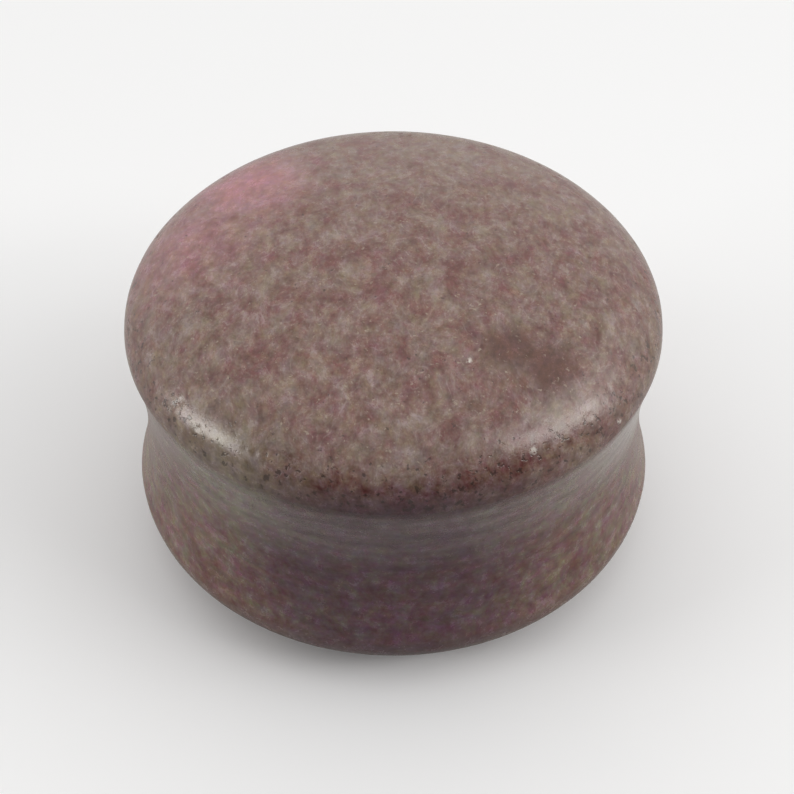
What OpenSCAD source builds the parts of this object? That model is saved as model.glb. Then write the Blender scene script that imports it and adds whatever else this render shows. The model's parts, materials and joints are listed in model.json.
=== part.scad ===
// Double-flared ear plug, turned and polished from one piece of stone.
// It stands on its flat back with its domed face upwards: Z is the plug's axis,
// and Z = 0 is the plane that the back rests on. Sizes are in millimetres.

/* [Saddle] */
// Diameter at the middle of the saddle, the waist that the ear lobe closes on: the plug's gauge
saddle_d = 30; // [20:0.5:50]
// Distance along the axis between the widest rings of the two flares
saddle_w = 11.2; // [8:0.1:16]

/* [Flares] */
// How far each flare stands out past the middle of the saddle
flare_h = 0.8; // [0.4:0.1:1.5]
// Radius that rounds the saddle side of a flare, next to its widest ring
lip_r = 0.4; // [0.2:0.1:1]
// Radius of a flare's outer edge, next to its widest ring
edge_r = 2.7; // [1.5:0.1:4]
// Radius of the shoulder, between the outer edge and the face
shoulder_r = 7; // [4.5:0.1:9]

/* [Hidden] */
$fn = 180;
STONE = [0.53, 0.45, 0.42];

// Directions are [outwards, along the axis], one unit long.
OUT = [1, 0];
// Where the edge goes over into the shoulder: a 3-4-5 triangle, 37 degrees up
EDGE_END = [0.8, 0.6];
// Where the shoulder goes over into the domed face: a 7-24-25 triangle, 74 degrees up
SHOULDER_END = [0.28, 0.96];
UP = [0, 1];

// The section's arcs, as [radius, height above the middle of the saddle].
// Each arc starts where the last one ends, with the same slope.
flare_r = saddle_d / 2 + flare_h;
flare_z = saddle_w / 2;
widest = [flare_r, flare_z];
// The saddle is one hollow arc, upright at its middle. It leans out by lean_a at the lip.
lean_a = 2 * atan(flare_h / flare_z);
saddle_r = flare_z / sin(lean_a) - lip_r;
saddle_c = [saddle_d / 2 + saddle_r, 0];
lip_c = widest - lip_r * OUT;
lip_start = lip_c + lip_r * [cos(lean_a), -sin(lean_a)];
edge_c = widest - edge_r * OUT;
edge_end = edge_c + edge_r * EDGE_END;
shoulder_c = edge_end - shoulder_r * EDGE_END;
face_start = shoulder_c + shoulder_r * SHOULDER_END;
// The face is a shallow dome, the cap of a large ball centred on the axis.
face_r = face_start[0] / SHOULDER_END[0];
face_c = [0, face_start[1] - face_r * SHOULDER_END[1]];
face_top = face_c + face_r * UP;
// On the back the shoulder runs on until it is flat.
back_start = shoulder_c + shoulder_r * UP;
back_mid = [0, back_start[1]];

// The part of a disc that a hub point sees between two points on the disc's rim
module slice(centre, r, hub, start, end) {
    // Past the rim, so that the wedge's straight far side stays outside the disc
    reach = 1.5;
    intersection() {
        translate(centre) circle(r);
        polygon([hub, hub + reach * (start - hub), hub + reach * (end - hub)]);
    }
}

// The rounded rim of one flare. The shoulder is drawn up to where its own arc ends.
module flare_rim(shoulder_stop) {
    slice(lip_c, lip_r, lip_c, lip_start, widest);
    slice(edge_c, edge_r, edge_c, widest, edge_end);
    slice(shoulder_c, shoulder_r, shoulder_c, edge_end, shoulder_stop);
}

// What lies inside the straight lines between the arcs' ends, with the saddle cut from it
module half_core(shoulder_stop, tip) {
    difference() {
        polygon([[0, 0], [lip_start[0], 0], lip_start, widest, edge_end, shoulder_stop, tip]);
        translate(saddle_c) circle(saddle_r);
    }
}

// Half of the section on the domed side
module front_half() {
    half_core(face_start, face_top);
    flare_rim(face_start);
    slice(face_c, face_r, [0, 0], face_start, face_top);
}

// Half of the section on the flat side, drawn upwards
module back_half() {
    half_core(back_start, back_mid);
    flare_rim(back_start);
}

module plug() {
    color(STONE) translate([0, 0, back_mid[1]]) rotate_extrude() {
        front_half();
        mirror(UP) back_half();
    }
}

plug();
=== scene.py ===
# %% [markdown]
# # A double-flared ear plug in polished stone
# The plug is turned, ground and polished from one piece of granular stone, so it is one mesh with one
# material here. It stands on its flat back with the domed face up. Lengths are in metres, with the
# plug's axis on Z and its back at Z = 0. Azimuth 0 faces the camera, towards -Y, and grows towards +X.

# %% The frame
import json
import math

import bpy
import numpy as np
from mathutils import Matrix, Vector


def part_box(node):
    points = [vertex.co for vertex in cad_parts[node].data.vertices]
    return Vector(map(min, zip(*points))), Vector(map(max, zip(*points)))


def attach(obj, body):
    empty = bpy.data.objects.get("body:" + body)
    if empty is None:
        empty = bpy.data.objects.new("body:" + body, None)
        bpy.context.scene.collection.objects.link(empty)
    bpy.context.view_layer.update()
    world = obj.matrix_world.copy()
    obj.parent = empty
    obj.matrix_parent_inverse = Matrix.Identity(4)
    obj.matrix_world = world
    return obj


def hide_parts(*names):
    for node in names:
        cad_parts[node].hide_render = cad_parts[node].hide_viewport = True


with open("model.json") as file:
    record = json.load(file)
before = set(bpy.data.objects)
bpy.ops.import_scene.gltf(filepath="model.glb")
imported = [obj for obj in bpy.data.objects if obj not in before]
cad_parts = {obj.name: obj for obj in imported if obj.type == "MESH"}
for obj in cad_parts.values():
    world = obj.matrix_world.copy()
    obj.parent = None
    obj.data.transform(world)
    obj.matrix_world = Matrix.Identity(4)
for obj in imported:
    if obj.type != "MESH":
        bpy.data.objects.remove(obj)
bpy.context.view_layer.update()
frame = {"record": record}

MM = 0.001

# %% [markdown]
# ## The section
# On the real plug a lathe cuts the section and a belt rounds it over. The section could be a spline
# through measured points, but a turner works with arcs that run into each other without a corner.
# So the outline is a chain of arcs: each starts where the last one ends, with the same slope.
# The main sizes come from the frame. Only the three rounding radii, and the two angles at which one
# arc gives way to the next, are given here.

# %% Sizes of the section
lowest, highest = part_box("plug")
mounts = {mount["name"]: mount for mount in frame["record"]["mounts"]}
saddle = mounts["saddle"]

FLARE_R = highest.x
HEIGHT = highest.z - lowest.z
SADDLE_R = saddle["dims"]["r_mm"] * MM
SADDLE_Z = saddle["pos_m"][2]
FLARE_DZ = saddle["dims"]["length_mm"] / 2 * MM
LIP_R = 0.4 * MM
EDGE_R = 2.7 * MM
SHOULDER_R = 7 * MM

print(f"flares {2 * FLARE_R / MM:.1f} mm across, saddle {2 * SADDLE_R / MM:.1f} mm")

# %% Where the arcs meet
# Angles are measured from straight outwards, in radians: a 3-4-5 and a 7-24-25 triangle.
EDGE_END = math.atan2(3, 4)
SHOULDER_END = math.atan2(24, 7)
LEVEL = math.pi / 2
LEAN = 2 * math.atan((FLARE_R - SADDLE_R) / FLARE_DZ)
HOLLOW_R = FLARE_DZ / math.sin(LEAN) - LIP_R

front_z = SADDLE_Z + FLARE_DZ
back_z = SADDLE_Z - FLARE_DZ
# The shoulder's centre lies behind the edge's, on the line through the point where they meet.
shoulder_r = FLARE_R - EDGE_R + (EDGE_R - SHOULDER_R) * math.cos(EDGE_END)
shoulder_dz = (EDGE_R - SHOULDER_R) * math.sin(EDGE_END)
face_start_r = shoulder_r + SHOULDER_R * math.cos(SHOULDER_END)
FACE_R = face_start_r / math.cos(SHOULDER_END)
print(f"hollow radius {HOLLOW_R / MM:.2f} mm, dome radius {FACE_R / MM:.2f} mm")

# %% [markdown]
# ## Stations along the section
# A mesh needs the smooth outline cut into short steps. Even steps would be simplest, but they spend as
# many faces on the plain back as on the chipped rim. So each arc has its own step: finest on the lips,
# fine on the rim and the face, coarser in the smooth saddle and coarsest on the flat back.

# %% One arc as stations
def arc(centre_r, centre_z, radius, start, end, step, hollow=False):
    """Stations on an arc: centre + radius * (cos t, sin t), in even steps of t from start to end.

    The normal is (cos t, sin t), or its opposite on a hollow. The last station is left to the next arc.
    """
    count = round(abs(end - start) * radius / step)
    t = np.linspace(start, end, count, endpoint=False)
    across = np.column_stack([np.cos(t), np.sin(t)])
    points = np.array([centre_r, centre_z]) + radius * across
    return np.hstack([points, -across if hollow else across])


def flat(radius, step):
    """Stations on the flat back, from one step off the axis outwards: (r, 0), facing down."""
    r = np.arange(1, round(radius / step)) * step
    zero = np.zeros_like(r)
    return np.column_stack([r, zero, zero, zero - 1])


print("half a circle of radius 1, in steps of 0.1:", len(arc(0, 0, 1, 0, math.pi, 0.1)), "stations")

# %% The whole section
BACK_STEP = 0.8 * MM
BACK_SHOULDER_STEP = 0.22 * MM
BACK_EDGE_STEP = 0.19 * MM
LIP_STEP = 0.05 * MM
SADDLE_STEP = 0.3 * MM
EDGE_STEP = 0.17 * MM
SHOULDER_STEP = 0.18 * MM
FACE_STEP = 0.215 * MM

stations = np.vstack([
    flat(shoulder_r, BACK_STEP),
    arc(shoulder_r, back_z - shoulder_dz, SHOULDER_R, -LEVEL, -EDGE_END, BACK_SHOULDER_STEP),
    arc(FLARE_R - EDGE_R, back_z, EDGE_R, -EDGE_END, 0, BACK_EDGE_STEP),
    arc(FLARE_R - LIP_R, back_z, LIP_R, 0, LEAN, LIP_STEP),
    arc(SADDLE_R + HOLLOW_R, SADDLE_Z, HOLLOW_R, math.pi + LEAN, math.pi - LEAN, SADDLE_STEP, hollow=True),
    arc(FLARE_R - LIP_R, front_z, LIP_R, -LEAN, 0, LIP_STEP),
    arc(FLARE_R - EDGE_R, front_z, EDGE_R, 0, EDGE_END, EDGE_STEP),
    arc(shoulder_r, front_z + shoulder_dz, SHOULDER_R, EDGE_END, SHOULDER_END, SHOULDER_STEP),
    arc(0, HEIGHT - FACE_R, FACE_R, SHOULDER_END, LEVEL, FACE_STEP),
])
print(len(stations), "stations from the middle of the back to the top")

# %% [markdown]
# ## The turned form
# Spinning the section is the turner's own way. Blender's Spin tool or a Screw modifier would do it too,
# but a grid of two parameters, station and azimuth, keeps a normal for every point. The next step
# presses the pits into the stone along those normals.

# %% Spin the section
TURNS = 540

azimuth = np.arange(TURNS) * 2 * math.pi / TURNS
around = np.column_stack([np.sin(azimuth), -np.cos(azimuth)])


def spin(r, z):
    """Points of a turned surface: (r sin a, -r cos a, z) for each station and azimuth a."""
    flat_part = r[:, None, None] * around[None]
    height = np.broadcast_to(z[:, None, None], (len(z), TURNS, 1))
    return np.concatenate([flat_part, height], axis=2)


form = spin(stations[:, 0], stations[:, 1])
normals = spin(stations[:, 2], stations[:, 3])
print("grid of", form.shape[0], "by", form.shape[1])

# %% [markdown]
# ## Open grain
# Softer grains break out of the stone when it is ground, mostly where the belt rounds the rim over.
# Bump in the material could fake them, but the outline and the mesh would stay smooth. So each pit is
# a small bowl pressed into the grid. Everything goes inwards, because grinding only takes away.

# %% Bowls, and where they lie
def bowls(points, centres, radii, depths):
    """Depth at each point, where the deepest bowl wins.

    Inside its radius, a bowl is depth * (1 - (d / radius)^2)^2, with d the distance from its centre.
    Only the rings near the bowl's own height are looked at.
    """
    depth = np.zeros(points.shape[:2])
    for centre, radius, deep in zip(centres, radii, depths):
        rows = np.nonzero(np.abs(points[:, 0, 2] - centre[2]) < radius * 1.5)[0]
        part = slice(rows[0], rows[-1] + 1)
        d2 = ((points[part] - centre) ** 2).sum(axis=2) / radius**2
        depth[part] = np.maximum(depth[part], deep * np.clip(1 - d2, 0, 1) ** 2)
    return depth


rng = np.random.default_rng(4)


def scatter(count, first, last):
    """Random points of the form between two stations, spread evenly over the rows and azimuths."""
    row = rng.integers(first, last, count)
    column = rng.integers(0, TURNS, count)
    return form[row, column]


trial = bowls(form, [form[-1, 0]], [MM], [MM])
print("a bowl of 1 mm radius, beside the top, takes in", np.count_nonzero(trial), "points")

# %% Pits on the rim and the face
RIM_PITS = 640
FACE_PITS = 260
# Least and greatest radius in millimetres
PIT_RADIUS = (0.15, 0.28)
LEAST_DEPTH = 0.01 * MM
# How much deeper than that a pit may be, on the rim and on the face
RIM_DEPTH = 0.07 * MM
FACE_DEPTH = 0.04 * MM
# The rim's pits start at this height, and end at this distance from the axis.
RIM_STARTS = front_z + 0.6 * MM
RIM_ENDS = 11.0 * MM

rim_first = int(np.argmin(np.abs(stations[:, 1] - RIM_STARTS)))
rim_last = int(np.nonzero(stations[:, 0] > RIM_ENDS)[0][-1])
rim = scatter(RIM_PITS, rim_first, rim_last)
face = scatter(FACE_PITS, rim_last, len(stations))
pits = np.concatenate([rim, face])
extra = np.concatenate([np.full(RIM_PITS, RIM_DEPTH), np.full(FACE_PITS, FACE_DEPTH)])
radii = rng.uniform(*PIT_RADIUS, len(pits)) * MM
# The cube leaves most pits shallow and a few deep.
depth = bowls(form, pits, radii, LEAST_DEPTH + extra * rng.random(len(pits)) ** 3)
print(f"{len(pits)} pits, the deepest {depth.max() / MM:.2f} mm")

# %% [markdown]
# ## The hand of the polisher
# Stone that is polished by hand is never quite round: a highlight on it wavers a little. A Displace
# modifier with a cloud texture could do that. Here a few long waves are added up instead, because their
# depth is then known exactly, and they fade out by formula where the face and the back lie level.

# %% Shallow waves, and the finished surface
# Each wave: the slant that its place is measured along, and the length in millimetres that it is divided by
WAVES = (
    ((1.0, 0.3, 0.6), 6.1),
    ((-0.4, 1.0, 0.8), 4.3),
    ((0.5, -0.8, 1.0), 8.7),
)
MIDDLE_DEPTH = 0.015 * MM
# What each wave adds and takes away, 0.01 mm for all of them together
WAVE_SWING = 0.01 * MM / len(WAVES)


def polish(points, normals):
    """Depth 0.005 to 0.025 mm on what stands upright, fading to nothing where it lies level.

    It is a middle depth and the sum of three waves. Each wave is sin(2 pi * place . slant / length), which
    repeats every 3 to 6 mm, and all of it is times 1 - (the normal's Z)^2.
    """
    waves = np.zeros(points.shape[:2])
    for slant, length in WAVES:
        waves += np.sin(points @ np.array(slant) * 2 * math.pi / (length * MM))
    upright = 1 - normals[:, :, 2] ** 2
    return (MIDDLE_DEPTH + waves * WAVE_SWING) * upright


depth += polish(form, normals)
surface = form - depth[:, :, None] * normals
# Nothing reaches below the plane that the plug stands on.
surface[:, :, 2] = np.maximum(surface[:, :, 2], 0)
print(f"pits and waves together take away up to {depth.max() / MM:.2f} mm")

# %% [markdown]
# ## The mesh
# The real plug is one closed skin of stone. A grid can be turned into faces in bmesh, one by one, but
# its corners follow a rule: each face joins two neighbours on one ring to the same two on the next.
# So all the corners are worked out as one array. The last azimuth joins the first, which closes the
# seam, and a fan of triangles closes the hole at each pole.

# %% A closed skin over a grid
def closed_mesh(name, grid, first_pole, last_pole):
    """A skin over a grid of rings, with a fan of triangles to a pole at each end.

    The quad at ring i and azimuth j has the corners (i, j), (i, j + 1), (i + 1, j + 1), (i + 1, j).
    """
    rows, columns = grid.shape[:2]
    verts = np.vstack([grid.reshape(-1, 3), [first_pole], [last_pole]])
    ring = np.arange(rows * columns).reshape(rows, columns)
    ahead = np.roll(ring, -1, axis=1)
    quads = np.stack([ring[:-1], ahead[:-1], ahead[1:], ring[1:]], axis=2).reshape(-1, 4)
    pole = np.full(columns, rows * columns)
    start = np.column_stack([pole, ahead[0], ring[0]])
    end = np.column_stack([pole + 1, ring[-1], ahead[-1]])
    corners = np.concatenate([quads.ravel(), start.ravel(), end.ravel()])
    sizes = np.concatenate([np.full(len(quads), 4), np.full(2 * columns, 3)])
    mesh = bpy.data.meshes.new(name)
    mesh.vertices.add(len(verts))
    mesh.vertices.foreach_set("co", verts.astype(np.float32).ravel())
    mesh.loops.add(len(corners))
    mesh.loops.foreach_set("vertex_index", corners.astype(np.int32))
    mesh.polygons.add(len(sizes))
    mesh.polygons.foreach_set("loop_start", (np.cumsum(sizes) - sizes).astype(np.int32))
    mesh.polygons.foreach_set("use_smooth", np.ones(len(sizes), bool))
    mesh.update(calc_edges=True)
    mesh.validate()
    thing = bpy.data.objects.new(name, mesh)
    bpy.context.scene.collection.objects.link(thing)
    return thing


# %% The plug
# The skin stands in for the smooth solid of the frame, which stays behind it for the physics.
plug = closed_mesh("plug_stone", surface, (0, 0, 0), (0, 0, HEIGHT))
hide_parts("plug")
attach(plug, "root")
print(len(plug.data.polygons), "faces")

# %% [markdown]
# ## Words for wiring
# The look of the stone is built from shader nodes. They could be placed by hand in the Shader Editor,
# but the same few sums come back again and again. So each sum gets a short word: sockets or plain
# values go in, and a socket comes out. The floor and the sky are wired with the same words.

# %% Sums with nodes
class Wiring:
    """The nodes of one material or world. A plain number or colour may stand wherever a socket may."""

    def __init__(self, owner):
        """Switch the owner's nodes on, and keep hold of them."""
        owner.use_nodes = True
        self.owner = owner
        self.tree = owner.node_tree

    def feed(self, socket, value):
        """Link an input to another node's output, or set it to a plain value."""
        if isinstance(value, bpy.types.NodeSocket):
            self.tree.links.new(value, socket)
        else:
            socket.default_value = value

    def node(self, kind, inputs, **settings):
        """A new node, with its settings made first and its inputs fed after."""
        made = self.tree.nodes.new("ShaderNode" + kind)
        for key, value in settings.items():
            setattr(made, key, value)
        for key, value in inputs.items():
            self.feed(made.inputs[key], value)
        return made

    def maths(self, kind, a, b=0.0):
        """One sum of two numbers, such as MULTIPLY, or of one, such as ABSOLUTE."""
        return self.node("Math", {0: a, 1: b}, operation=kind).outputs[0]

    def vector(self, kind, a, b):
        """One sum of two places or colours, part by part."""
        return self.node("VectorMath", {0: a, 1: b}, operation=kind).outputs[0]

    def scaled(self, value, number):
        """A place or a colour times a number."""
        return self.node("VectorMath", {0: value, "Scale": number}, operation="SCALE").outputs[0]

    def swing(self, value, gain):
        """How far a noise is from its middle, 0.5, times a gain."""
        return self.maths("MULTIPLY", self.maths("SUBTRACT", value, 0.5), gain)

    def carry(self, value, low, high, to_low=0.0, to_high=1.0, kind="LINEAR"):
        """A value carried from low..high to to_low..to_high, and held there beyond both ends."""
        inputs = {"Value": value, "From Min": low, "From Max": high, "To Min": to_low, "To Max": to_high}
        return self.node("MapRange", inputs, interpolation_type=kind).outputs[0]

    def fade(self, value, low, high, to_low=0.0, to_high=1.0):
        """The same as carry, but soft at both ends."""
        return self.carry(value, low, high, to_low, to_high, "SMOOTHSTEP")

    def split(self, value, kind="Color"):
        """The three parts of a colour, or of a place where the kind is XYZ."""
        return self.node("Separate" + kind, {0: value}).outputs[:3]

    def mix(self, amount, a, b):
        """From colour a, at amount 0, to colour b, at amount 1. The node's colour sockets are 6, 7 and 2."""
        return self.node("Mix", {0: amount, 6: a, 7: b}, data_type="RGBA").outputs[2]


print("words:", [word for word in vars(Wiring) if not word.startswith("_")])

# %% [markdown]
# ## Patterns in space
# A picture of stone wrapped round the plug would stretch and show a seam. The real pattern runs through
# the whole block, and the surface only cuts it. So the stone is made of noises in space, read at the
# place on the surface, in millimetres of the plug itself. Each pattern below is one word.

# %% Noises, cells and stains
WHITE = (1.0, 1.0, 1.0, 1)


def noise(w, where, size, detail=2.0, roughness=0.5, output=0):
    """Cloudy values around 0.5, with lumps of a size in millimetres. Output 1 gives three at once."""
    inputs = {"Vector": where, "Scale": 1 / size, "Detail": detail, "Roughness": roughness}
    return w.node("TexNoise", inputs).outputs[output]


def warp(w, where, size, reach):
    """A place pushed about by up to half of reach, so that what is read there loses its even look."""
    push = w.vector("SUBTRACT", noise(w, where, size, 0.0, output=1), (0.5, 0.5, 0.5))
    return w.vector("ADD", where, w.scaled(push, reach))


def cells(w, where, size):
    """Three random values, each the same all over a small cell of the stone."""
    return w.split(w.node("TexVoronoi", {"Vector": where, "Scale": 1 / size}).outputs["Color"])


def near(w, where, centre, reach, core=0.0):
    """1 within core of a place on the plug, falling to 0 at reach from it."""
    distance = w.node("VectorMath", {0: where, 1: centre}, operation="DISTANCE").outputs["Value"]
    return w.fade(distance, core, reach, 1.0, 0.0)


def tint(w, colour, other, amount):
    """A colour seen through another one, as far as the amount says."""
    return w.vector("MULTIPLY", colour, w.mix(amount, WHITE, other))


print("patterns:", [word.__name__ for word in (noise, warp, cells, near, tint)])

# %% [markdown]
# ## One stone, several finishes
# The face is ground and polished, the rim is chipped, and the saddle is smooth and a little waxy.
# Three materials on three bands of faces would meet in hard lines. One material with soft masks, by
# the height over the back, lets each finish run into the next one as it does on the stone.

# %% Heights and grains that all the finishes share
# Heights over the back in millimetres, between which each zone comes in and goes out again
SADDLE_IN, SADDLE_OUT = (3.8, 5.2), (14.6, 16.2)
RIM_IN, RIM_OUT = (15.5, 16.0), (17.2, 18.8)
# Sizes of the stone's lumps in millimetres
BROAD = 3.6
PATCH = 1.4
GRAIN = 0.74
# The block's layers run away from the camera. A place squeezed that way draws its lumps out.
LAYERS = (1.0, 0.72, 1.0)
# Size and reach in millimetres of the warp that loosens the lumps
DRIFT = (1.8, 0.5)
# The grain's contrast: 1.15 to 0.6 from the front to the back, times 0.7 to 1 from the saddle to the rim
NEAR_FAR = (-9.0, 10.0, 1.15, 0.6)
LOW_HIGH = (13.0, 16.5, 0.7, 1.0)


class Stone(Wiring):
    """The wiring of the stone, with its place in millimetres, its zones and its grains."""

    def __init__(self):
        super().__init__(bpy.data.materials.new("stone"))
        self.shader = self.tree.nodes["Principled BSDF"]
        self.here = self.scaled(self.node("TexCoord", {}).outputs["Object"], 1 / MM)
        self.sideways, self.away, self.up = self.split(self.here, "XYZ")
        self.saddle = self.zone(SADDLE_IN, SADDLE_OUT)
        self.rim = self.zone(RIM_IN, RIM_OUT)
        self.loose = warp(self, self.vector("MULTIPLY", self.here, LAYERS), *DRIFT)
        self.broad = noise(self, self.loose, BROAD, detail=0.0)
        self.patches = noise(self, self.loose, PATCH, detail=4.0, roughness=0.8)
        grain = noise(self, self.loose, GRAIN, detail=3.0, roughness=0.8, output=1)
        self.light, self.red, self.warm = self.split(grain)
        # The grain shows most at the front, and less in the saddle.
        near_far = self.carry(self.away, *NEAR_FAR)
        self.contrast = self.maths("MULTIPLY", near_far, self.fade(self.up, *LOW_HIGH))

    def zone(self, rise, fall):
        """1 between two heights and 0 outside, soft over the rise and over the fall."""
        return self.maths("MULTIPLY", self.fade(self.up, *rise), self.fade(self.up, *fall, 1.0, 0.0))


print(f"lumps of {BROAD}, {PATCH} and {GRAIN} mm")

# %% [markdown]
# ## Rose and olive
# The stone is a felt of two kinds of grain: grey with a breath of olive, and a darker dusty rose. A
# colour ramp over one noise would give bands in a fixed order. Four noises are added up instead, so the
# two colours lie in broad patches, break up into grains, and the rose grains are the darker ones. One
# more noise draws the fine pale veins, along the lines where it crosses its middle value.

# %% The ground colour
OLIVE = (0.227, 0.170, 0.138, 1)
ROSE = (0.155, 0.055, 0.054, 1)
PALE_AND_GLINT = (0.370, 0.300, 0.245, 1)
# Half the width of the step from one colour to the other: a smaller one gives harder patches
PATCH_EDGE = 0.16
# How far each of the other noises moves a place towards rose
BROAD_PULL, RED_PULL, LIGHT_PULL = 0.1, 0.25, -0.32
# The two colours part less below the rim: 0.7 of the way up to one height, and all of it from the other
CALM_BELOW = (15.0, 19.0, 0.7, 1.0)
# The veins: the size of their bends in millimetres, how far from 0.5 the noise may be, how much they show
VEIN = 1.2
VEIN_REACH = 0.028
VEIN_SHOWS = 0.28
# They come in where the grain is warm, and between two heights.
VEIN_WARM = (0.46, 0.58)
VEIN_UP = (15.5, 17.5)


def veins(s):
    """A mask of thin pale lines: where a noise crosses its middle, kept only where the grain is warm."""
    line = s.maths("ABSOLUTE", s.maths("SUBTRACT", noise(s, s.loose, VEIN, detail=1.0), 0.5))
    kept = s.maths("MULTIPLY", s.fade(s.warm, *VEIN_WARM), s.fade(s.up, *VEIN_UP))
    return s.maths("MULTIPLY", s.fade(line, 0.0, VEIN_REACH, 1.0, 0.0), kept)


def ground(s):
    """Olive to rose by patches + pull * (noise - 0.5) for each of three more noises, with pale veins."""
    redder = s.patches
    for other, pull in ((s.broad, BROAD_PULL), (s.red, RED_PULL), (s.light, LIGHT_PULL)):
        redder = s.maths("ADD", redder, s.swing(other, pull))
    redder = s.swing(redder, s.fade(s.up, *CALM_BELOW))
    colour = s.mix(s.carry(redder, -PATCH_EDGE, PATCH_EDGE), OLIVE, ROSE)
    return s.mix(s.maths("MULTIPLY", veins(s), VEIN_SHOWS), colour, PALE_AND_GLINT)


print("olive", OLIVE[:3], "and rose", ROSE[:3])

# %% [markdown]
# ## Stains in the block, and painted shade
# Here and there the block is stained: a pink cloud at the back left of the face, and a small brown spot at
# the front right. The front below the rim is darkened as painted shade, partly with a plum tint, and the
# front lip is darkened most of all. They could be painted on the mesh, but paint has no depth. Each is a
# ball in space with a soft, warped edge, as a stain in rock is.

# %% Stains and painted shade, each a ball in the block
PINK = (0.400, 0.160, 0.200, 1)
BROWN = (0.108, 0.045, 0.035, 1)
# Plum tint and painted shade: the front of the waist and the lip under the rim are made darker and more
# purple
PLUM_AND_PAINTED_SHADE = (0.60, 0.52, 0.74, 1)
# Painted shade: the front lip, where the rim turns under, is made darker
PAINTED_LIP_SHADE = (0.74, 0.70, 0.74, 1)
MOSS = (0.225, 0.205, 0.155, 1)
# Each ball: its middle, how far it reaches and how far its full strength goes, in millimetres
PINK_BALL = ((-8.9, 7.0, 19.9), 6.0, 0.0)
PINK_TAIL = ((-12.2, 2.2, 19.3), 7.0, 0.0)
BROWN_BALL = ((6.4, -8.0, 20.0), 2.5, 0.8)
BROWN_TAIL = ((8.5, -8.8, 19.6), 2.5, 0.8)
PLUM_SHADE_BALL = ((-0.5, -16.0, 9.5), 12.0, 5.0)
LIP_SHADE_BALL = ((0.5, -16.0, 15.4), 12.0, 6.0)
MOSS_BALL = ((-9.5, -12.6, 15.0), 6.5, 1.5)
# Size and reach in millimetres of the warp that frays their edges
FRAY = (2.2, 1.8)
# How much of each shows
PINK_SHOWS, TAIL_SHOWS, BROWN_SHOWS, MOSS_SHOWS = 0.85, 0.55, 0.95, 0.5
# Heights over the back between which the plum tint and painted shade ends, and the painted lip shade comes
# in and goes out again
PLUM_SHADE_ENDS = (16.0, 18.6)
LIP_SHADE_IN, LIP_SHADE_OUT = (14.9, 15.3), (15.8, 18.0)


def stains(s, colour):
    """Ground colour with pink, brown and moss, then painted shade under the front rim, partly a plum tint.
    """
    where = warp(s, s.here, *FRAY)
    tail = s.maths("MULTIPLY", near(s, where, *PINK_TAIL), TAIL_SHOWS)
    pink = s.maths("MAXIMUM", near(s, where, *PINK_BALL), tail)
    colour = s.mix(s.maths("MULTIPLY", pink, PINK_SHOWS), colour, PINK)
    brown = s.maths("MAXIMUM", near(s, where, *BROWN_BALL), near(s, where, *BROWN_TAIL))
    colour = s.mix(s.maths("MULTIPLY", brown, BROWN_SHOWS), colour, BROWN)
    # Painted shade, partly a plum tint: the front below the rim is darkened
    plum_and_shade = s.maths("MULTIPLY", near(s, where, *PLUM_SHADE_BALL), s.fade(s.up, *PLUM_SHADE_ENDS, 1.0, 0.0))
    colour = tint(s, colour, PLUM_AND_PAINTED_SHADE, plum_and_shade)
    # Painted shade: the front lip is darkened
    lip_shade = s.maths("MULTIPLY", near(s, where, *LIP_SHADE_BALL), s.zone(LIP_SHADE_IN, LIP_SHADE_OUT))
    colour = tint(s, colour, PAINTED_LIP_SHADE, lip_shade)
    moss = s.maths("MULTIPLY", near(s, where, *MOSS_BALL), MOSS_SHOWS)
    return s.mix(moss, colour, MOSS)


print("a pink cloud that reaches", PINK_BALL[1], "mm from", PINK_BALL[0])

# %% [markdown]
# ## Grain by grain
# Close up, no two grains of the stone are equally light, nor quite of one hue. A single noise for all
# of that would tie light to hue. So one noise sets how light a grain is, two others lean it to mauve
# or to yellow, more so in the saddle, and small cells give each crystal a shade of its own.

# %% Light and hue of the grains
# Size of a crystal in millimetres, and size and reach of the warp that bends its faces
CRYSTAL = 0.34
CRYSTAL_BEND = (0.5, 0.25)
# How far a noise swings from its middle, and what the colour, its green or its blue is then times
TONE = (-0.25, 0.25, 0.62, 1.38)
GREEN = (-0.2, 0.2, 1.36, 0.64)
BLUE = (-0.25, 0.25, 0.76, 1.24)
# The sum of two of a crystal's random values, and what the colour is then times
SHADE = (0.0, 2.0, 0.88, 1.12)
# How strongly blue follows the warm noise, on the face and in the saddle, and the light one everywhere
WARM_PULL = (1.1, 1.6)
LIGHT_TO_BLUE = 0.55


def grains(s, colour):
    """The colour times a tone by the light noise, a lean by two others, and a shade for each crystal."""
    colour = s.scaled(colour, s.carry(s.swing(s.light, s.contrast), *TONE))
    green = s.carry(s.swing(s.red, s.saddle), *GREEN)
    warm = s.swing(s.warm, s.carry(s.saddle, 0.0, 1.0, *WARM_PULL))
    blue = s.carry(s.maths("ADD", warm, s.swing(s.light, LIGHT_TO_BLUE)), *BLUE)
    lean = s.node("CombineXYZ", {0: 1.0, 1: green, 2: blue}).outputs[0]
    colour = s.vector("MULTIPLY", colour, lean)
    _, one, two = cells(s, warp(s, s.here, *CRYSTAL_BEND), CRYSTAL)
    return s.scaled(colour, s.carry(s.maths("ADD", one, two), *SHADE))


print("crystals of", CRYSTAL, "mm, grains", TONE[2], "to", TONE[3], "times as light")

# %% [markdown]
# ## Pale flakes and dark specks
# The face has pale flakes, which are partly painted glints, and dirt sits in the open grain of the rim.
# Round dots from a Voronoi texture look printed, so both come from fine noises: a flake is a peak and a
# speck is a dip. Only what lies past a threshold shows, which gives small ragged shapes of uneven size. The
# few larger chips are painted glints; they lie where the real plug has them, so each has a place of its own.

# %% Flakes, painted glints and specks
DARK = (0.030, 0.020, 0.017, 1)
# Painted highlight: the pale colour of the glints on the chips
PAINTED_GLINT = (0.72, 0.69, 0.64, 1)
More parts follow.
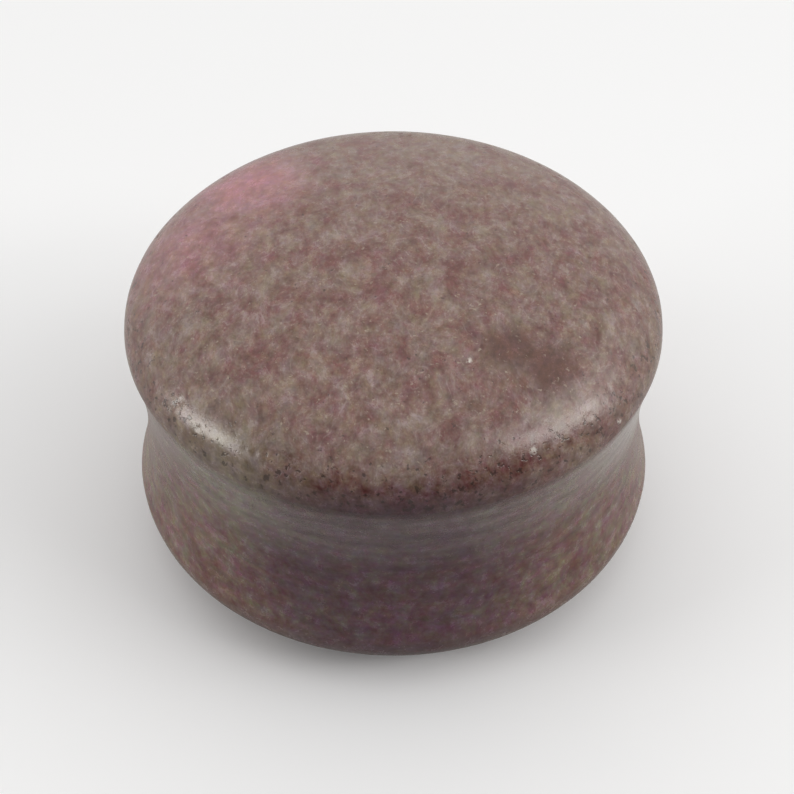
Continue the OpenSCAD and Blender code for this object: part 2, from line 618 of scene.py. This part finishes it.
# How much of the painted glints on the chips and of the specks shows
GLINT_SHOWS, SPECK_SHOWS = 0.75, 0.65
# Sizes in millimetres, and size and reach of the warp that makes them ragged
FLAKE = 0.30
SPECK = 0.38
RAGGED = (0.8, 0.2)
# Values of the noise between which a flake comes in, and heights between which they come in, up to 0.7
FLAKE_PEAK = (0.62, 0.76)
FLAKE_UP = (16.5, 19.0, 0.0, 0.7)
# What a speck's noise lies under, off the rim and on it, and how much more or less in the patches
SPECK_LIMIT = (0.24, 0.345)
SPECK_PATCHES = 0.2
# The step at a speck's edge, and the strength of the specks in the saddle
SPECK_EDGE = 0.08
SADDLE_SPECKS = 0.2
# A painted glint's middle, its warp, and the fine noise that breaks it up, all in millimetres but the last
GLINT_CORE = 0.05
GLINT_WARP = (0.3, 0.3)
GLINT_GRAIN = 0.16
GLINT_BREAKS = (0.44, 0.54)
# The larger chips with painted glints: each one's place and reach in millimetres
GLINT_CHIPS = (
    ((7.5, -13.0, 17.6), 0.34),
    ((12.5, -9.5, 16.3), 0.26),
    ((4.1, -8.8, 20.3), 0.24),
    ((-0.3, -8.9, 20.4), 0.11),
)


def flakes_and_glints(s):
    """A mask of the pale flakes, partly painted glints: the peaks of a fine noise, on the shoulder and the
    face.
    """
    bright = noise(s, warp(s, s.here, *RAGGED), FLAKE, roughness=0.65)
    return s.maths("MULTIPLY", s.fade(bright, *FLAKE_PEAK), s.fade(s.up, *FLAKE_UP))


def glint_chips(s):
    """A mask of the painted glints on the few larger chips, each broken up by a fine noise."""
    where = warp(s, s.here, *GLINT_WARP)
    mask = 0.0
    for place, reach in GLINT_CHIPS:
        mask = s.maths("MAXIMUM", mask, near(s, where, place, reach, GLINT_CORE))
    return s.maths("MULTIPLY", mask, s.fade(noise(s, s.here, GLINT_GRAIN), *GLINT_BREAKS))


def specks(s):
    """A mask of the dark specks: the dips of a noise, under a limit that is higher on the rim."""
    _, dim, _ = s.split(noise(s, warp(s, s.here, *RAGGED), SPECK, roughness=0.65, output=1))
    limit = s.maths("ADD", s.carry(s.rim, 0.0, 1.0, *SPECK_LIMIT), s.swing(s.patches, SPECK_PATCHES))
    inside = s.fade(s.maths("SUBTRACT", dim, limit), 0.0, SPECK_EDGE, 1.0, 0.0)
    return s.maths("MULTIPLY", inside, s.carry(s.saddle, 0.0, 1.0, 1.0, SADDLE_SPECKS))


print(len(GLINT_CHIPS), "larger chips")

# %% [markdown]
# ## Polish and wax
# The face has an even, soft gloss, and the saddle has thin turning marks that run round it under a
# trace of wax. A lower roughness there would lose the wider sheen of the face, so the wax is a coat of
# its own, with its own roughness, over the top of the saddle. The marks are a noise that is drawn out
# level with the floor.

# %% Turning marks, gloss and relief
# Size of a mark in millimetres, and how its place is squeezed so that it runs round the plug
MARK = 0.5
MARK_STRETCH = (0.12, 0.12, 1.0)
# A mark's swing in the saddle, and what the colour is then times
MARK_TONE = (-0.2, 0.2, 0.8, 1.2)
# The light noise from 0.3 to 0.7, and the roughness there
ROUGHNESS = (0.3, 0.7, 0.20, 0.30)
STONE_IOR = 1.6
WAX_ROUGHNESS = 0.2
# Heights over the back between which the wax comes in and goes out again
WAX_IN, WAX_OUT = (9.0, 12.5), (14.4, 15.4)
# The marks from 0.3 to 0.7, and how thick the wax lies there
WAX_MARKS = (0.3, 0.7, 0.7, 1.3)
# Two places along X in millimetres, both on the left, and how thick the wax lies there
WAX_LEFT = (-14.0, -5.0, 0.3, 1.0)
FACE_RELIEF = 0.015 * MM
SADDLE_RELIEF = 0.003 * MM
SPECK_RELIEF = -0.007 * MM


def gloss(s, marks):
    """Roughness by the grain, and a waxy coat at the top of the saddle, less on the left."""
    s.feed(s.shader.inputs["Roughness"], s.carry(s.light, *ROUGHNESS))
    s.feed(s.shader.inputs["IOR"], STONE_IOR)
    wax = s.maths("MULTIPLY", s.zone(WAX_IN, WAX_OUT), s.carry(marks, *WAX_MARKS))
    wax = s.maths("MULTIPLY", wax, s.fade(s.sideways, *WAX_LEFT))
    s.feed(s.shader.inputs["Coat Weight"], wax)
    s.feed(s.shader.inputs["Coat Roughness"], WAX_ROUGHNESS)


def relief(s, speck):
    """Bump too fine for the mesh: light grains stand up a little, and each dark speck lies lower."""
    tall = s.carry(s.saddle, 0.0, 1.0, FACE_RELIEF, SADDLE_RELIEF)
    height = s.maths("ADD", s.maths("MULTIPLY", s.light, tall), s.maths("MULTIPLY", speck, SPECK_RELIEF))
    bump = s.node("Bump", {"Height": height, "Distance": 1.0, "Strength": 1.0})
    s.feed(s.shader.inputs["Normal"], bump.outputs[0])


print(f"roughness {ROUGHNESS[2]} to {ROUGHNESS[3]}, relief up to {FACE_RELIEF / MM:.3f} mm")

# %% [markdown]
# ## The stone, put together
# What lies in the block comes first: the ground, the stains with the painted shade under the front rim, and
# the grains that run through both. What belongs to the surface lies over it: pale flakes that are partly
# painted glints, painted glints on a few chips, dirt in the grain, and the turning marks. Nodes could hold
# all this as one group, but a function reads in that order.

# %% One material
def stone():
    """The finished stone: its colour from the block outwards, then its gloss and its relief."""
    s = Stone()
    colour = grains(s, stains(s, ground(s)))
    speck = specks(s)
    # Painted highlights: the pale flakes are partly painted glints, and the larger chips are painted glints
    colour = s.mix(s.maths("MULTIPLY", flakes_and_glints(s), s.contrast), colour, PALE_AND_GLINT)
    colour = s.mix(s.maths("MULTIPLY", glint_chips(s), GLINT_SHOWS), colour, PAINTED_GLINT)
    colour = s.mix(s.maths("MULTIPLY", speck, SPECK_SHOWS), colour, DARK)
    marks = noise(s, s.vector("MULTIPLY", s.here, MARK_STRETCH), MARK, roughness=0.6)
    colour = s.scaled(colour, s.carry(s.swing(marks, s.saddle), *MARK_TONE))
    s.feed(s.shader.inputs["Base Color"], colour)
    gloss(s, marks)
    relief(s, speck)
    print("stone:", len(s.tree.nodes), "nodes")
    return s.owner


plug.data.materials.append(stone())

# %% [markdown]
# ## The floor
# The plug stands on plain white paper. Real paper would throw so much light up into the waist that it
# would lose its dark hollow. So the sheet has two colours: a bright one that the camera sees, and a
# duller one, darkest at the front, for the light that it gives the stone.

# %% A sheet of paper
FLOOR_SIZE = 4.0
FLOOR_SEEN = (0.90, 0.92, 0.955, 1)
FLOOR_NEAR = (0.36, 0.36, 0.36, 1)
FLOOR_FAR = (0.62, 0.62, 0.62, 1)
NEAR_Y, FAR_Y = -30 * MM, 15 * MM


def two_ways(w, given, seen, output):
    """One shader for the light that reaches the stone, and another for what the camera sees."""
    ray = w.node("LightPath", {}).outputs["Is Camera Ray"]
    both = w.node("MixShader", {0: ray, 1: given.outputs[0], 2: seen.outputs[0]})
    w.feed(w.tree.nodes[output].inputs["Surface"], both.outputs[0])


def paper():
    """White paper: duller towards the front in the light that it gives, and even to the camera."""
    w = Wiring(bpy.data.materials.new("paper"))
    _, away, _ = w.split(w.node("TexCoord", {}).outputs["Object"], "XYZ")
    given = w.tree.nodes["Principled BSDF"]
    w.feed(given.inputs["Base Color"], w.mix(w.fade(away, NEAR_Y, FAR_Y), FLOOR_NEAR, FLOOR_FAR))
    w.feed(given.inputs["Roughness"], 1)
    seen = w.node("BsdfDiffuse", {"Color": FLOOR_SEEN})
    two_ways(w, given, seen, "Material Output")
    return w.owner


half = FLOOR_SIZE / 2
sheet = bpy.data.meshes.new("floor")
corners = [(-half, -half, 0), (half, -half, 0), (half, half, 0), (-half, half, 0)]
sheet.from_pydata(corners, [], [(0, 1, 2, 3)])
sheet.materials.append(paper())
floor = bpy.data.objects.new("floor", sheet)
bpy.context.scene.collection.objects.link(floor)
print(f"floor {FLOOR_SIZE:.0f} m square")

# %% [markdown]
# ## The dome
# A light tent surrounds a small product with soft light from above and behind, and it is open where the
# camera looks in, which keeps the waist dark. A ring of lamps would do it, but each lamp would show
# as a highlight of its own. A world that is bright all round but low at the front leaves none.

# %% Soft light from above and behind
DOME = 0.92
DAYLIGHT = (1.0, 0.975, 0.935, 1)
SKY_SEEN = (0.85, 0.85, 0.85, 1)
# Where the light comes in: along Y from the front to the sides, and along Z on the way up to the top
SIDES_IN = (-0.5, 0.0)
TOP_IN = (0.45, 0.75)


def dome():
    """A sky that is bright at the back and the top, and dark low at the front."""
    w = Wiring(bpy.data.worlds.new("dome"))
    _, away, up = w.split(w.node("TexCoord", {}).outputs["Generated"], "XYZ")
    lit = w.maths("MAXIMUM", w.fade(away, *SIDES_IN), w.fade(up, *TOP_IN))
    given = w.tree.nodes["Background"]
    w.feed(given.inputs["Color"], DAYLIGHT)
    w.feed(given.inputs["Strength"], w.maths("MULTIPLY", lit, DOME))
    seen = w.node("Background", {"Color": SKY_SEEN})
    two_ways(w, given, seen, "World Output")
    return w.owner


bpy.context.scene.world = dome()
print("dome of strength", DOME)

# %% [markdown]
# ## Softboxes
# The rim carries a long highlight on each side, from a narrow softbox that stands beside the plug, a
# little towards the camera. The right shoulder has the faint glow of a wider one. A point lamp would
# give a hard dot. Each box is given as it is seen from the plug: a direction, a size in degrees and how
# bright it looks, so moving it nearer or further hardly changes the picture.

# %% Three softboxes
# Distance from the rim in metres
BOX_DISTANCE = 0.5


def softbox(name, bearing, elevation, width, height, radiance, roll):
    """A lit rectangle that faces the rim. Bearing is from the camera's side, and all angles are in degrees.

    A side is 2 * distance * tan(angle / 2), and the power is radiance * pi * area.
    """
    a, e = math.radians(bearing), math.radians(elevation)
    way = Vector((math.sin(a) * math.cos(e), -math.cos(a) * math.cos(e), math.sin(e)))
    lamp = bpy.data.lights.new(name, "AREA")
    lamp.shape = "RECTANGLE"
    lamp.color = DAYLIGHT[:3]
    lamp.size = 2 * BOX_DISTANCE * math.tan(math.radians(width / 2))
    lamp.size_y = 2 * BOX_DISTANCE * math.tan(math.radians(height / 2))
    lamp.energy = radiance * math.pi * lamp.size * lamp.size_y
    thing = bpy.data.objects.new(name, lamp)
    bpy.context.scene.collection.objects.link(thing)
    thing.location = Vector((0, 0, front_z)) + way * BOX_DISTANCE
    turn = (-way).to_track_quat("-Z", "Y").to_matrix() @ Matrix.Rotation(math.radians(roll), 3, "Z")
    thing.rotation_euler = turn.to_euler()
    thing.visible_camera = False
    print(f"{name}: {lamp.size:.2f} by {lamp.size_y:.2f} m, {lamp.energy:.2f} W")


softbox("left strip", bearing=-76, elevation=15.5, width=29, height=10, radiance=8.8, roll=25)
softbox("right strip", bearing=73, elevation=28.5, width=40, height=11, radiance=5.2, roll=-33)
softbox("right panel", bearing=82, elevation=37, width=56, height=24, radiance=1.1, roll=-28)

# %% [markdown]
# ## The camera
# The picture was taken from close by, looking down at about 45 degrees: the near rim looks larger than
# the far one. The lens, the distance and the aim were found together, by fitting the section's outline
# to the plug's. The Standard view transform keeps the colours as they are, as a product shot does.

# %% A close camera
ELEVATION = math.radians(44.65)
DISTANCE = 119.2 * MM
AIM = Vector((0.21 * MM, 0, 8.815 * MM))
# Width of the sensor and focal length, in millimetres
SENSOR = 36
LENS = 88.0
# The nearest and the farthest that is drawn, in metres
CLIP = (0.01, 10)

camera = bpy.data.objects.new("camera", bpy.data.cameras.new("camera"))
bpy.context.scene.collection.objects.link(camera)
camera.data.sensor_width = SENSOR
camera.data.lens = LENS
camera.data.clip_start, camera.data.clip_end = CLIP
back = Vector((0, -math.cos(ELEVATION), math.sin(ELEVATION)))
camera.location = AIM + DISTANCE * back
camera.rotation_euler = (-back).to_track_quat("-Z", "Y").to_euler()
bpy.context.scene.camera = camera
bpy.context.scene.view_settings.view_transform = "Standard"
print(f"camera {DISTANCE / MM:.0f} mm away, {math.degrees(ELEVATION):.1f} degrees up")

# %% [markdown]
# ## The size, and the end
# The stone was only ever taken away from, so the dressed plug has to fit inside the solid's box.
